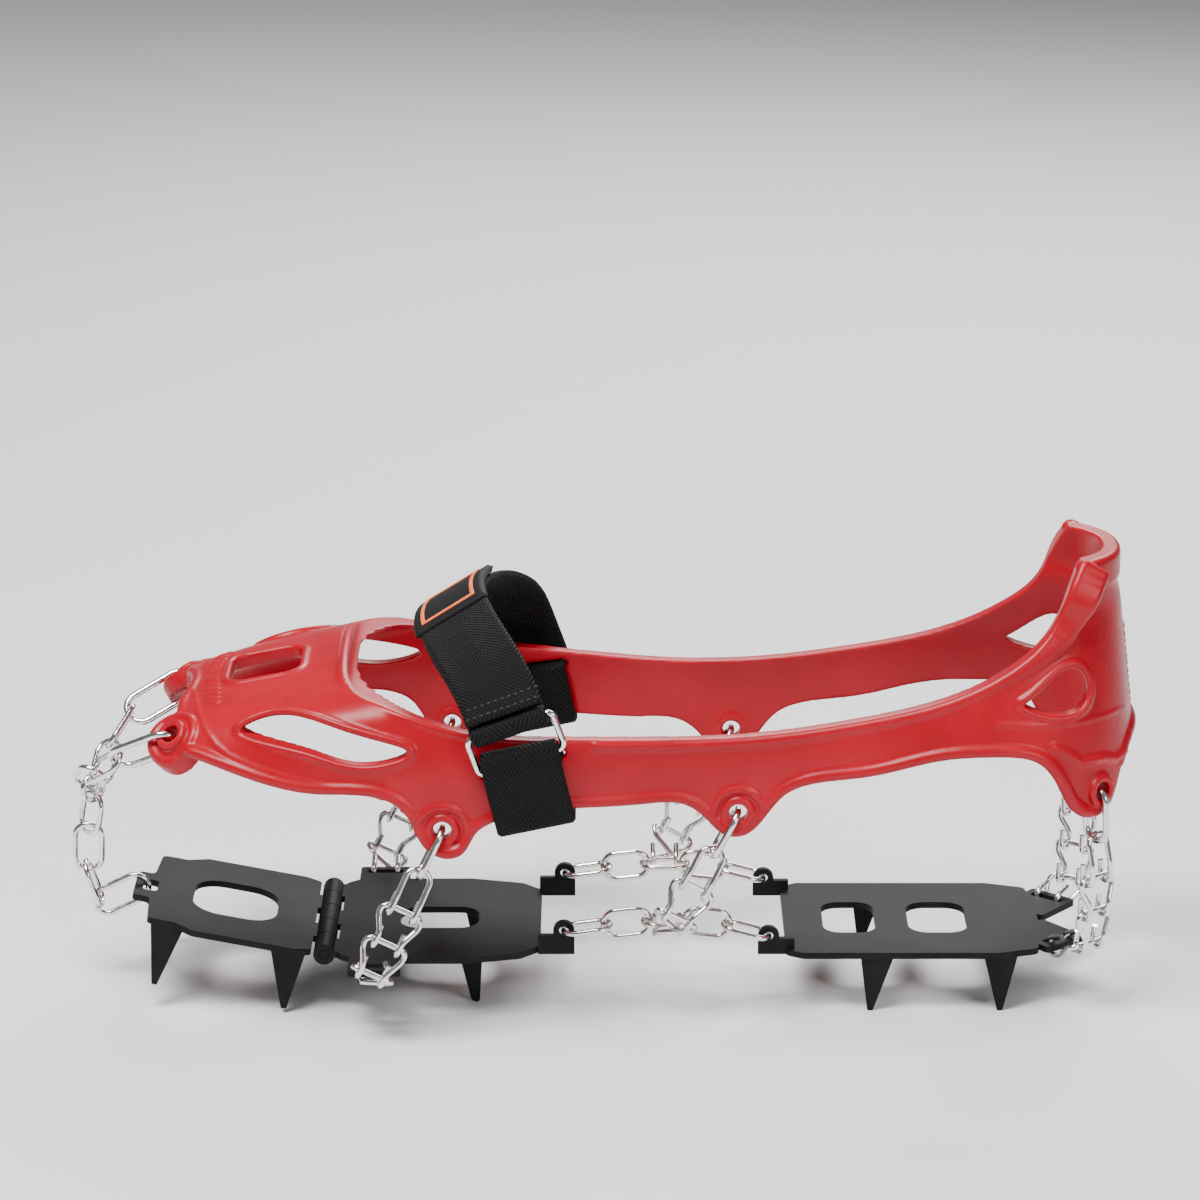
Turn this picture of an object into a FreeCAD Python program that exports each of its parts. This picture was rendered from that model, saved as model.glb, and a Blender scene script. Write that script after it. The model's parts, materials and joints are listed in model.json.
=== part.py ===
"""Shoe ice cleats: a rubber harness, steel chains and three spiked plates, with an instep strap.

Frame: the toe points to -X, the heel to +X, up is +Z and z = 0 is the plane of the spike tips.
The object is symmetric about the XZ plane except for the strap's ring and its folded flap.
All lengths are in millimetres.
"""
import FreeCAD, Part
import math
import os

from FreeCAD import Vector

doc = FreeCAD.newDocument("shoe_ice_cleats")
sheet = doc.addObject("Spreadsheet::Sheet", "dimensions")

DIMENSIONS = {
    # harness
    "web_thickness": 3.8,
    "ball_half_width": 52.0,
    "waist_half_width": 40.5,
    "heel_half_width": 39.5,
    "ball_x": -55.0,
    "waist_x": 42.0,
    "heel_x": 117.0,
    "heel_tab_top": 139.0,
    "bridge_front_x": -126.0,
    "throat_x": -75.0,
    "lobe_radius": 9.6,
    "collar_radius": 4.9,
    "collar_proud": 0.6,
    "eyelet_radius": 3.0,
    # eyelet stations: x, |y| and z of each hole on the outer face
    "toe_eye_x": -126.5,
    "toe_eye_z": 88.0,
    "ball_eye_x": -46.0,
    "ball_eye_z": 66.0,
    "arch_eye_x": 41.0,
    "arch_eye_z": 67.5,
    "heel_eye_x": 148.5,
    "heel_eye_z": 71.0,
    # chain
    "ring_wire": 2.1,
    "link_wire": 1.8,
    "ladder_wire": 1.7,
    "link_gap": 0.3,
    "link_half_width": 4.1,
    "ring_half_width": 4.2,
    "ring_length": 16.1,
    "toe_ring_half_width": 4.6,
    "ladder_pitch": 11.0,
    "ladder_half_width": 6.3,
    "ladder_hook_offset": 3.7,
    "ladder_hook_radius": 2.0,
    "ladder_tail": 4.0,
    "u_link_length": 13.5,
    "plate_hook_radius": 2.7,
    "junction_radius": 3.9,
    "junction_turn": 45.0,
    "tongue_bar_reach": 2.8,
    "arch_chain_y": 25.0,
    # spike plates
    "plate_thickness": 2.0,
    "plate_bottom_z": 17.0,
    "spike_length": 18.0,
    "spike_tip_radius": 0.9,
    "hinge_x": -83.0,
    "hinge_pin_radius": 1.5,
    "hinge_pin_length": 58.0,
    "knuckle_radius": 3.2,
    "toe_plate_tilt": 11.0,
    # strap
    "strap_width": 23.4,
    "strap_thickness": 1.8,
    "strap_lean": 20.0,
    "strap_twist": 13.0,
    "strap_reach": 9.8,
    "strap_loop_lean": 12.0,
    "strap_x": -24.5,
    "strap_z": 93.5,
    "strap_loop_x": -21.2,
    "strap_loop_z": 79.5,
    "strap_slot_height": 5.6,
    "strap_ring_y": 54.2,
    "strap_ring_wire": 2.0,
    "strap_ring_height": 11.5,
    "strap_ring_half_width": 13.2,
}

for row, (alias, value) in enumerate(DIMENSIONS.items(), start=1):
    sheet.set(f"A{row}", alias)
    sheet.set(f"B{row}", str(value))
    sheet.setAlias(f"B{row}", alias)
doc.recompute()


def dim(alias):
    """A driving dimension, read from the sheet."""
    return float(sheet.get(alias))


UP = Vector(0, 0, 1)
SIDES = {"left": 1, "right": -1}
CREST = 2.25

parts = {}


def keep(name, obj):
    """Label a finished sub-part and list it for export."""
    obj.Label = name
    parts[name] = obj
    return obj


def feature(name, shape, placement=None):
    """A sub-part whose shape is computed from the sheet."""
    obj = doc.addObject("Part::Feature", name)
    obj.Shape = shape
    if placement is not None:
        obj.Placement = placement
    return keep(name, obj)


def frame_placement(origin, x_axis, y_axis):
    """Placement whose local x and y axes lie along the given directions."""
    x_dir = Vector(x_axis).normalize()
    z_dir = x_dir.cross(Vector(y_axis)).normalize()
    y_dir = z_dir.cross(x_dir)
    matrix = FreeCAD.Matrix(
        x_dir.x, y_dir.x, z_dir.x, origin.x,
        x_dir.y, y_dir.y, z_dir.y, origin.y,
        x_dir.z, y_dir.z, z_dir.z, origin.z,
        0, 0, 0, 1,
    )
    return FreeCAD.Placement(matrix)


def outward(solid):
    """The same solid with its faces turned outward."""
    return solid if solid.Volume > 0 else solid.reversed()


# ---------------------------------------------------------------- wire forms

def rounded_geometry(points, radii):
    """Straight runs through the points, joined by tangent arcs of the given radii."""
    found = []
    last = points[0]
    for before, corner, after, radius in zip(points, points[1:], points[2:], radii):
        arriving = (corner - before).normalize()
        leaving = (after - corner).normalize()
        turn = arriving.getAngle(leaving)
        if turn < 0.01:
            continue
        back = radius * math.tan(turn / 2)
        start = corner - arriving * back
        end = corner + leaving * back
        inward = (leaving - arriving).normalize()
        middle = corner + inward * (radius / math.cos(turn / 2) - radius)
        if (start - last).Length > 0.01:
            found.append(Part.LineSegment(last, start))
        else:
            start = last
        found.append(Part.Arc(start, middle, end))
        last = end
    if (points[-1] - last).Length > 0.01:
        found.append(Part.LineSegment(last, points[-1]))
    return found


def rounded_path(points, radii):
    """The same runs and arcs as one wire."""
    return Part.Wire([piece.toShape() for piece in rounded_geometry(points, radii)])


def rounded_loop(corners, radius):
    """Geometry of a closed outline with rounded corners: one radius, or one for each corner."""
    radii = radius if isinstance(radius, list) else [radius] * len(corners)
    start = (corners[-1] + corners[0]) * 0.5
    return rounded_geometry([start] + corners + [start], radii)


def wire_form(path, diameter):
    """A round wire bent along a path."""
    start = path.Edges[0].Vertexes[0].Point
    tangent = path.Edges[0].tangentAt(path.Edges[0].FirstParameter)
    section = Part.Wire(Part.makeCircle(diameter / 2, start, tangent))
    return path.makePipeShell([section], True, False)


def stadium_path(length, half_width, radius):
    """Closed centre line in the local XY plane, its long axis on x, centred on the origin."""
    along = length / 2
    across = half_width
    corners = [
        Vector(-along, across, 0),
        Vector(along, across, 0),
        Vector(along, -across, 0),
        Vector(-along, -across, 0),
    ]
    return Part.Wire([piece.toShape() for piece in rounded_loop(corners, radius)])


def closed_link(name, start, end, half_width, diameter, plane_dir, reach_start, reach_end):
    """A welded link between two contact points; its end wires lie beyond them by the reaches."""
    along = (end - start).normalize()
    first = start - along * reach_start
    last = end + along * reach_end
    path = stadium_path((last - first).Length, half_width, half_width - 0.01)
    centre = (first + last) * 0.5
    return feature(name, wire_form(path, diameter), frame_placement(centre, along, plane_dir))


def hooked_link(name, bar, bar_axis, seat, seat_axis, outward, shape):
    """A ladder link: a cross bar (or a round top) and two legs hooked over the next piece.

    bar and seat are the centres of its own bar and of what it hooks onto; outward is the side
    that the legs pass on. shape holds half_width, shoulder, hook_offset, hook_radius.
    """
    along = (seat - bar).normalize()
    facing = (outward - along * outward.dot(along)).normalize()
    hook_facing = (facing - seat_axis * facing.dot(seat_axis)).normalize()
    hook_along = (along - seat_axis * along.dot(seat_axis)).normalize()
    hook_facing = (hook_facing - hook_along * hook_facing.dot(hook_along)).normalize()
    radius = shape["hook_radius"]
    offset = shape["hook_offset"]
    tail = dim("ladder_tail")
    length = (seat - bar).Length

    def leg(side):
        over = seat + seat_axis * (side * offset)
        top = bar + bar_axis * (side * shape["half_width"])
        points = [
            over - hook_facing * radius - hook_along * tail,
            over - hook_facing * radius + hook_along * radius,
            over + hook_facing * radius + hook_along * radius,
            over + hook_facing * radius - hook_along * shape["straight"],
        ]
        if shape["waist"]:
            points.append(top + along * (0.31 * length) + facing * 0.3)
        return points, top

    near, near_top = leg(-1)
    far, far_top = leg(1)
    points = near + [near_top, far_top] + far[::-1]
    hook_corners = [radius - 0.01, radius - 0.01]
    bends = [4.0, 4.0] if shape["waist"] else [6.0]
    radii = hook_corners + bends + [shape["shoulder"]] * 2 + bends + hook_corners
    return feature(name, wire_form(rounded_path(points, radii), dim("ladder_wire")))


LADDER = {
    "half_width": dim("ladder_half_width"),
    "shoulder": 2.0,
    "hook_offset": dim("ladder_hook_offset"),
    "hook_radius": dim("ladder_hook_radius"),
    "straight": 2.4,
    "waist": True,
}
U_LINK = dict(LADDER, half_width=dim("ladder_hook_offset"), shoulder=3.6, straight=4.0, waist=False)
PLATE_LINK = dict(LADDER, hook_radius=dim("plate_hook_radius"), straight=1.5)
CHAIN_LINK = dict(LADDER, hook_offset=3.6, hook_radius=2.4, straight=1.8)


# ---------------------------------------------------------------- harness

# Each level of the shoe form: height, front x, shift of the ball, width scale, back x.
LEVELS = [
    (40.0, -153.0, 0.0, 0.99, 160.0),
    (60.0, -152.0, 0.0, 1.0, 161.0),
    (76.0, -149.0, 0.0, 1.0, 161.0),
    (86.0, -142.0, 0.0, 0.985, 160.0),
    (95.0, -124.0, 0.0, 0.94, 159.0),
    (104.0, -84.0, 14.0, 0.87, 158.0),
    (113.0, -60.0, 26.0, 0.80, 157.0),
    (125.0, -42.0, 38.0, 0.73, 155.6),
    (142.0, -26.0, 50.0, 0.66, 153.6),
]


def outline_points(front, ball, scale, back, inset):
    """Half of one level of the shoe form, from the toe to the heel, as (x, half width)."""
    front += inset
    back -= inset
    ball_width = dim("ball_half_width") * scale - inset
    waist_width = dim("waist_half_width") * scale - inset
    heel_width = dim("heel_half_width") * scale - inset
    waist = dim("waist_x")
    heel = dim("heel_x")
    found = []
    for step in range(0, 9):
        angle = math.pi / 2 * step / 8
        reach = math.cos(angle) ** (2 / CREST)
        width = math.sin(angle) ** (2 / CREST)
        found.append((ball + (front - ball) * reach, ball_width * width))
    for step in range(1, 4):
        share = step / 4
        ease = (1 - math.cos(math.pi * share)) / 2
        found.append((ball + (waist - ball) * share, ball_width + (waist_width - ball_width) * ease))
    for share in (0.0, 0.5):
        ease = (1 - math.cos(math.pi * share)) / 2
        found.append((waist + (heel - waist) * share, waist_width + (heel_width - waist_width) * ease))
    for step in range(0, 9):
        angle = math.pi / 2 * step / 8
        reach = math.sin(angle) ** (2 / CREST)
        width = math.cos(angle) ** (2 / CREST)
        found.append((heel + (back - heel) * reach, heel_width * width))
    return found


def level_points(level, inset):
    """Left half of one level of the shoe form, moved in and down by the inset."""
    height, front, shift, scale, back = level
    half = outline_points(front, dim("ball_x") + shift, scale, back, inset)
    return [Vector(x, y, height - 0.75 * inset) for x, y in half]


def skin(inset):
    """Left half of the shoe form's face, to a depth below the harness's outer face."""
    surface = Part.BSplineSurface()
    surface.interpolate([level_points(level, inset) for level in LEVELS])
    return surface.toShape()


def edge_near(face, side):
    """The boundary edge of a skin that lies furthest along the given direction."""
    return max(face.Edges, key=lambda edge: edge.CenterOfMass.dot(side))


def half_shell(thickness):
    """Left half of the rubber as one closed solid, before it is trimmed to outline."""
    outer = skin(0)
    inner = skin(thickness)
    walls = []
    for side in (Vector(0, 0, 1), Vector(0, 0, -1), Vector(1, 0, 0), Vector(-1, 0, 0)):
        walls.append(Part.makeRuledSurface(edge_near(outer, side), edge_near(inner, side)))
    sewn = Part.makeShell([outer, inner] + walls)
    sewn.sewShape()
    solid = Part.makeSolid(Part.Shell(sewn.Faces))
    solid.fix(1e-6, 1e-6, 1e-4)
    return outward(solid)


outer_face = skin(0).Faces[0]


def surface_point(x, z):
    """Outer face of the shoe form and its outward direction at x and z, on the left side."""
    probe = Part.makeLine(Vector(x, 5, z), Vector(x, 80, z))
    crossing = outer_face.section(probe).Vertexes[0].Point
    normal = outer_face.normalAt(*outer_face.Surface.parameter(crossing))
    return crossing, normal if normal.y > 0 else normal * -1


def prism(points, half_depth, centre_y=0.0, smooth=True):
    """A closed side outline (x, z) carried across in y."""
    vectors = [Vector(x, centre_y - half_depth, z) for x, z in points]
    if smooth:
        curve = Part.BSplineCurve()
        curve.interpolate(Points=vectors, PeriodicFlag=True)
        wire = Part.Wire(curve.toShape())
    else:
        wire = Part.makePolygon(vectors + [vectors[0]])
    return outward(Part.Face(wire).extrude(Vector(0, 2 * half_depth, 0)))


def side_outline():
    """Side profile of the harness: lower edge with the ball and arch lobes, then the top edge."""
    low_run = [
        (-124.0, 84.0), (-112.0, 82.0), (-98.0, 78.5), (-84.0, 76.5), (-70.0, 76.5), (-60.0, 73.5),
        (-55.5, 68.0),
    ]
    ball_lobe = [(-52.0, 61.0), (-46.0, 57.5), (-40.0, 58.8), (-36.5, 64.0)]
    mid_run = [(-31.0, 67.5), (-8.0, 70.5), (12.0, 70.5), (26.0, 69.5)]
    arch_lobe = [(32.0, 64.5), (37.0, 60.3), (43.0, 60.3), (48.0, 64.5)]
    rear_run = [(54.0, 72.0), (78.0, 78.0), (100.0, 83.0), (118.0, 84.0), (129.0, 82.0)]
    heel_lobe = [(134.5, 76.0), (138.5, 68.0), (144.5, 63.0), (150.5, 63.5), (154.5, 71.0)]
    back_run = [(158.0, 80.5), (170.0, 84.0)]
    edge_points = low_run + ball_lobe + mid_run + arch_lobe + rear_run + heel_lobe + back_run
    lower = [Vector(x, -90, z) for x, z in edge_points]
    top = [
        (170.0, dim("heel_tab_top")), (141.5, dim("heel_tab_top")), (137.5, 130.5), (133.0, 120.0),
        (123.0, 110.5), (102.0, 100.5), (78.0, 95.0), (52.0, 91.2), (20.0, 90.0), (-10.0, 91.4),
        (-34.0, 93.6), (-48.9, 97.3), (-58.0, 100.2), (-66.0, 102.2), (-71.5, 103.2),
        (-74.2, 104.6), (dim("throat_x"), 107.0),
    ]
    upper = [Vector(x, -90, z) for x, z in top[1:]]
    upper.append(Vector(dim("throat_x") - 0.4, -90, 114.0))
    front = Vector(dim("bridge_front_x"), -90, 114.0)
    start = Vector(dim("bridge_front_x"), -90, lower[0].z)
    low_curve = Part.BSplineCurve()
    low_curve.interpolate([start] + lower)
    high_curve = Part.BSplineCurve()
    high_curve.interpolate(upper)
    corner = Vector(top[0][0], -90, top[0][1])
    edges = [
        low_curve.toShape(),
        Part.makeLine(lower[-1], corner),
        Part.makeLine(corner, upper[0]),
        high_curve.toShape(),
        Part.makeLine(upper[-1], front),
        Part.makeLine(front, start),
    ]
    return outward(Part.Face(Part.Wire(edges)).extrude(Vector(0, 180, 0)))


SIDE_WINDOW = [
    (-105.0, 93.5), (-97.0, 96.8), (-86.0, 97.6), (-75.0, 95.2), (-62.0, 92.0),
    (-56.0, 89.5), (-62.0, 86.5), (-82.0, 88.0), (-96.0, 90.5),
]
HEEL_WINDOW = [
    (125.0, 99.5), (133.0, 105.5), (140.0, 108.5), (144.0, 103.5), (143.0, 98.0), (135.0, 95.5),
]


def mirrored(vector, side):
    """The same vector on the left (+1) or right (-1) side."""
    return Vector(vector.x, side * vector.y, vector.z)


left_eyelets = {
    place: surface_point(dim(f"{place}_eye_x"), dim(f"{place}_eye_z"))
    for place in ("toe", "ball", "arch", "heel")
}


def strap_frame(key):
    """Local frame of the strap or its loops: x across the webbing, y across the shoe, z along."""
    lean = math.radians(dim(f"{key}_lean"))
    origin = Vector(dim(f"{key}_x"), 0, dim(f"{key}_z"))
    return frame_placement(origin, Vector(math.cos(lean), 0, math.sin(lean)), Vector(0, 1, 0))


def harness_shape():
    """One moulded ring of rubber with windows at the toe and heel and a lobe at each eyelet."""
    thickness = dim("web_thickness")
    shell = half_shell(thickness)
    half = shell.common(side_outline())
    point, normal = left_eyelets["toe"]
    lobe = Part.makeCylinder(dim("lobe_radius"), 14, point - normal * 9, normal)
    half = half.fuse(shell.common(lobe))
    half = half.cut(prism(SIDE_WINDOW, 16, 44))
    half = half.cut(prism(HEEL_WINDOW, 14, 32))
    opening = Part.makeBox(25, 24, 2.8, Vector(-12.5, 36, dim("strap_slot_height") - 1.4))
    opening = opening.makeFillet(1.2, [e for e in opening.Edges if abs(e.tangentAt(0).y) > 0.9])
    opening.Placement = strap_frame("strap_loop")
    half = half.cut(opening)
    toe_window = Part.makeBox(21, 25, 40, Vector(-111, -12.5, 70))
    uprights = [edge for edge in toe_window.Edges if abs(edge.tangentAt(0).z) > 0.9]
    half = half.cut(toe_window.makeFillet(5, uprights))
    front_bow = Part.makeCylinder(40, 80, Vector(-163.5, 0, 60))
    half = half.cut(front_bow.common(Part.makeBox(60, 40, 80, Vector(-170, -20, 60))))
    for point, normal in left_eyelets.values():
        depth = thickness + dim("collar_proud")
        collar = Part.makeCylinder(dim("collar_radius"), depth, point - normal * thickness, normal)
        half = half.fuse(collar)
    for point, normal in left_eyelets.values():
        hole = Part.makeCylinder(dim("eyelet_radius"), 24, point - normal * 12, normal)
        half = half.cut(hole)
    other = half.mirror(Vector(0, 0, 0), Vector(0, 1, 0))
    return half.fuse(other).removeSplitter()


feature("harness", harness_shape())


# ---------------------------------------------------------------- chain runs down the sides

def run_direction(down, out, degrees):
    """A step down the side of the shoe that leans outward by the given angle."""
    angle = math.radians(degrees)
    return down * math.cos(angle) + out * math.sin(angle)


def side_run(place, side_name, down, out, leans, ladders):
    """Eyelet ring, U link and ladder links down one side; returns where the last bar lies.

    leans gives the outward lean of the ring, the U link and each ladder link in turn.
    """
    across = down.cross(out).normalize()
    point, normal = left_eyelets[place]
    side = SIDES[side_name]
    hole = mirrored(point - normal * (dim("web_thickness") / 2), side)
    ring_dir = run_direction(down, out, leans[0])
    ring_reach = (dim("ring_wire") + dim("ladder_wire") + dim("link_gap")) / 4 + 0.05
    top = hole + ring_dir * 0.3
    joint = top + ring_dir * (dim("ring_length") - ring_reach)
    closed_link(
        f"{place}_ring_{side_name}", top, joint, dim("ring_half_width"), dim("ring_wire"),
        out, 0, ring_reach,
    )
    u_dir = run_direction(down, out, leans[1])
    u_top = joint - u_dir * ring_reach
    bar = u_top + u_dir * dim("u_link_length")
    hooked_link(f"{place}_u_link_{side_name}", u_top, across, bar, across, out, U_LINK)
    for number in range(1, ladders + 1):
        step = run_direction(down, out, leans[number + 1])
        seat = bar + step * dim("ladder_pitch")
        hooked_link(f"{place}_ladder_{number}_{side_name}", bar, across, seat, across, out, LADDER)
        bar = seat
    return bar, across


BALL_DOWN = Vector(-0.431, 0, -0.902).normalize()
ARCH_DOWN = Vector(-0.46, 0, -0.888).normalize()
plate_mid_z = dim("plate_bottom_z") + dim("plate_thickness") / 2
seats = {}

for side_name, side in SIDES.items():
    out = Vector(0, side, 0)
    bar, across = side_run("ball", side_name, BALL_DOWN, out, (8, 11, 5, -3), 2)
    seat = Vector(bar.x, bar.y - side * 10.7, plate_mid_z)
    seats["ball", side_name] = seat
    hooked_link(
        f"ball_ladder_3_{side_name}", bar, across, seat, Vector(-side, 0, 0),
        UP * -1 + out * 0.2, PLATE_LINK,
    )

    bar, across = side_run("arch", side_name, ARCH_DOWN, out, (-2, 0, 1), 1)
    chain_centre = Vector(20.1, side * dim("arch_chain_y"), 27.3)
    seat = chain_centre + out * (dim("link_half_width") - 0.05)
    hooked_link(
        f"arch_ladder_2_{side_name}", bar, across, seat, Vector(-side, 0, 0),
        UP * -1 + out * 0.6, CHAIN_LINK,
    )

    normal = mirrored(left_eyelets["heel"][1], side)
    out = Vector(normal.x, normal.y, 0).normalize()
    bar, across = side_run("heel", side_name, UP * -1, out, (4, 3, -3, -9), 2)
    seat = bar - out * 10.7
    seat.z = plate_mid_z
    seats["heel", side_name] = seat
    hooked_link(
        f"heel_ladder_3_{side_name}", bar, across, seat, across, UP * -1 + out * 0.2, PLATE_LINK
    )


# ---------------------------------------------------------------- arch chains

LUG_Z = {"mid": 24.3, "heel": 22.6}


def arch_chain(side_name, side):
    """Five welded links between the lugs of the middle and heel plates."""
    y = side * dim("arch_chain_y")
    reach = (dim("link_wire") + dim("link_gap")) / 2
    pitch = 2 * reach + 9.95
    middle = Vector(20.1, y, 27.3)
    half = pitch / 2
    nodes = [middle - Vector(half, 0, 0), middle + Vector(half, 0, 0)]
    fall = math.radians(6.0)
    nodes.insert(0, nodes[0] - Vector(math.cos(fall), 0, math.sin(fall)) * pitch)
    nodes.append(nodes[-1] + Vector(math.cos(fall), 0, -math.sin(fall)) * pitch)
    ends = {}
    for key, node, heading in (("mid", nodes[0], -1), ("heel", nodes[-1], 1)):
        length = pitch + reach
        drop = node.z - LUG_Z[key]
        run = math.sqrt(length**2 - drop**2)
        ends[key] = Vector(node.x + heading * run, y, LUG_Z[key])
    nodes = [ends["mid"]] + nodes + [ends["heel"]]
    for number, (start, end) in enumerate(zip(nodes, nodes[1:]), start=1):
        plane = Vector(0, 1, 0) if number % 2 else UP
        reach_start = 0 if number == 1 else reach
        reach_end = 0 if number == 5 else reach
        closed_link(
            f"arch_chain_{number}_{side_name}", start, end, dim("link_half_width"),
            dim("link_wire"), plane, reach_start, reach_end,
        )
    return ends


for side_name, side in SIDES.items():
    lug_holes = arch_chain(side_name, side)


# ---------------------------------------------------------------- toe chain

def toe_chain():
    """Eyelet rings and two links each side, meeting at a round link above the toe stem."""
    over = dim("link_wire") + dim("link_gap")
    over_ring = (dim("link_wire") + dim("ring_wire")) / 2 + dim("link_gap")
    junction = Vector(-154.0, 0, 61.0)
    turned = math.radians(dim("junction_turn"))
    level = Vector(math.cos(turned), math.sin(turned), 0)
    for side_name, side in SIDES.items():
        point, normal = left_eyelets["toe"]
        hole = mirrored(point - normal * (dim("web_thickness") / 2), side)
        outward_dir = mirrored(normal, side)
        ring_end = Vector(-144.7, side * 21.6, 77.0)
        ring_dir = (ring_end - hole).normalize()
        closed_link(
            f"toe_ring_{side_name}", hole + ring_dir * 0.4, ring_end, dim("toe_ring_half_width"),
            dim("ring_wire"), outward_dir, 0, 0,
        )
        rise = math.radians(35.0)
        rim = junction + (level * (side * math.cos(rise)) + UP * math.sin(rise)) * dim("junction_radius")
        rim_tangent = UP * math.cos(rise) - level * (side * math.sin(rise))
        middle = (ring_end * 0.46 + rim * 0.54) + Vector(-1.6, side * 0.8, 0.4)
        arm_dir = (middle - ring_end).normalize()
        closed_link(
            f"toe_arm_1_{side_name}", ring_end, middle, dim("link_half_width") - 0.3,
            dim("link_wire"), arm_dir.cross(outward_dir), over_ring + 0.7, 0,
        )
        last_dir = (rim - middle).normalize()
        closed_link(
            f"toe_arm_2_{side_name}", middle, rim, dim("link_half_width") - 0.3,
            dim("link_wire"), last_dir.cross(rim_tangent), over + 0.35, over,
        )
    round_link = Part.makeTorus(
        dim("junction_radius"), dim("link_wire") / 2, junction, level.cross(UP)
    )
    feature("toe_stem_1", round_link)
    start = junction - UP * dim("junction_radius")
    ends = [
        Vector(-155.8, 0, start.z - 10.6),
        Vector(-156.2, 0, start.z - 22.4),
        Vector(-152.4, 0, start.z - 33.4),
        toe_bar_centre(),
    ]
    widths = [level.cross(UP), Vector(1, 0, 0), Vector(0, 1, 0), Vector(1, 0, 0)]
    slacks = [0.0, 0.7, 0.3, 0.0]
    for number, (end, width_dir, slack) in enumerate(zip(ends, widths, slacks), start=2):
        past_end = 0 if number < 5 else dim("tongue_bar_reach")
        closed_link(
            f"toe_stem_{number}", start, end, dim("link_half_width"), dim("link_wire"),
            width_dir, over + slack, past_end,
        )
        start = end


def hinge_centre():
    """Middle of the hinge pin between the toe plate and the middle plate."""
    return Vector(dim("hinge_x"), 0, plate_mid_z)


TOE_BAR_X = -59.0


def toe_bar_centre():
    """Centre of the bar in the toe plate's tongue, with the plate tilted."""
    tilt = FreeCAD.Rotation(Vector(0, 1, 0), dim("toe_plate_tilt"))
    return hinge_centre() + tilt.multVec(Vector(TOE_BAR_X, 0, 0))


toe_chain()


# ---------------------------------------------------------------- spike plates

def slab(outline, corner):
    """A plate of sheet steel from an outline of (x, y) points with rounded corners."""
    corners = [Vector(x, y, -dim("plate_thickness") / 2) for x, y in outline]
    wire = Part.Wire([piece.toShape() for piece in rounded_loop(corners, corner)])
    return outward(Part.Face(wire).extrude(Vector(0, 0, dim("plate_thickness"))))


def both_sides(half):
    """A full outline from its left half, listed from one end to the other."""
    return half + [(x, -y) for x, y in reversed(half)]


def slot(x0, x1, y0, y1):
    """A rounded opening through a plate, given by its extents."""
    tool = Part.makeBox(x1 - x0, y1 - y0, 12, Vector(x0, y0, -6))
    uprights = [edge for edge in tool.Edges if abs(edge.tangentAt(0).z) > 0.9]
    return tool.makeFillet(min(x1 - x0, y1 - y0) * 0.35, uprights)


def spike(near_x, far_x, tip_x, tip_z, y, turn=0.0):
    """A flat pointed prong below the plate edge, in the local frame of its plate."""
    flat = dim("spike_tip_radius") - 0.1
    corners = [(near_x, 0.6), (far_x, 0.6), (tip_x + flat, tip_z), (tip_x - flat, tip_z)]
    half = dim("plate_thickness") / 2
    points = [Vector(x, -half, z) for x, z in corners]
    wire = Part.Wire([piece.toShape() for piece in rounded_loop(points, 0.55)])
    prong = outward(Part.Face(wire).extrude(Vector(0, 2 * half, 0)))
    middle = (near_x + far_x) / 2
    prong.rotate(Vector(middle, 0, 0), Vector(0, 0, 1), turn)
    prong.translate(Vector(0, y, 0))
    return prong


def knuckles(spans, heading, bore):
    """Rolled hinge knuckles on the axis, each joined to its plate by a short tab."""
    rolled = []
    for start, end in spans:
        barrel = Part.makeCylinder(
            dim("knuckle_radius"), end - start, Vector(0, start, 0), Vector(0, 1, 0)
        )
        tab = Part.makeBox(
            5, end - start, dim("plate_thickness"),
            Vector(0 if heading > 0 else -5, start, -dim("plate_thickness") / 2),
        )
        hole = Part.makeCylinder(bore, end - start, Vector(0, start, 0), Vector(0, 1, 0))
        rolled.append(barrel.fuse(tab).cut(hole))
    return rolled


def ear(placement):
    """A slotted ear whose outer bar takes the hooks of the last ladder link."""
    arm = slab([(-17, 7.8), (1.2, 7.8), (1.2, -7.8), (-17, -7.8)], 1.15)
    arm = arm.cut(slot(-4.2, -1.2, -5.5, 5.5))
    arm.Placement = placement
    return arm


def lug(x, y, z):
    """An upright eye at the plate's edge that holds the end of an arch chain."""
    half = dim("plate_thickness") / 2
    disc = Part.makeCylinder(3.2, 2 * half, Vector(x, y - half, z), Vector(0, 1, 0))
    return disc


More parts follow.
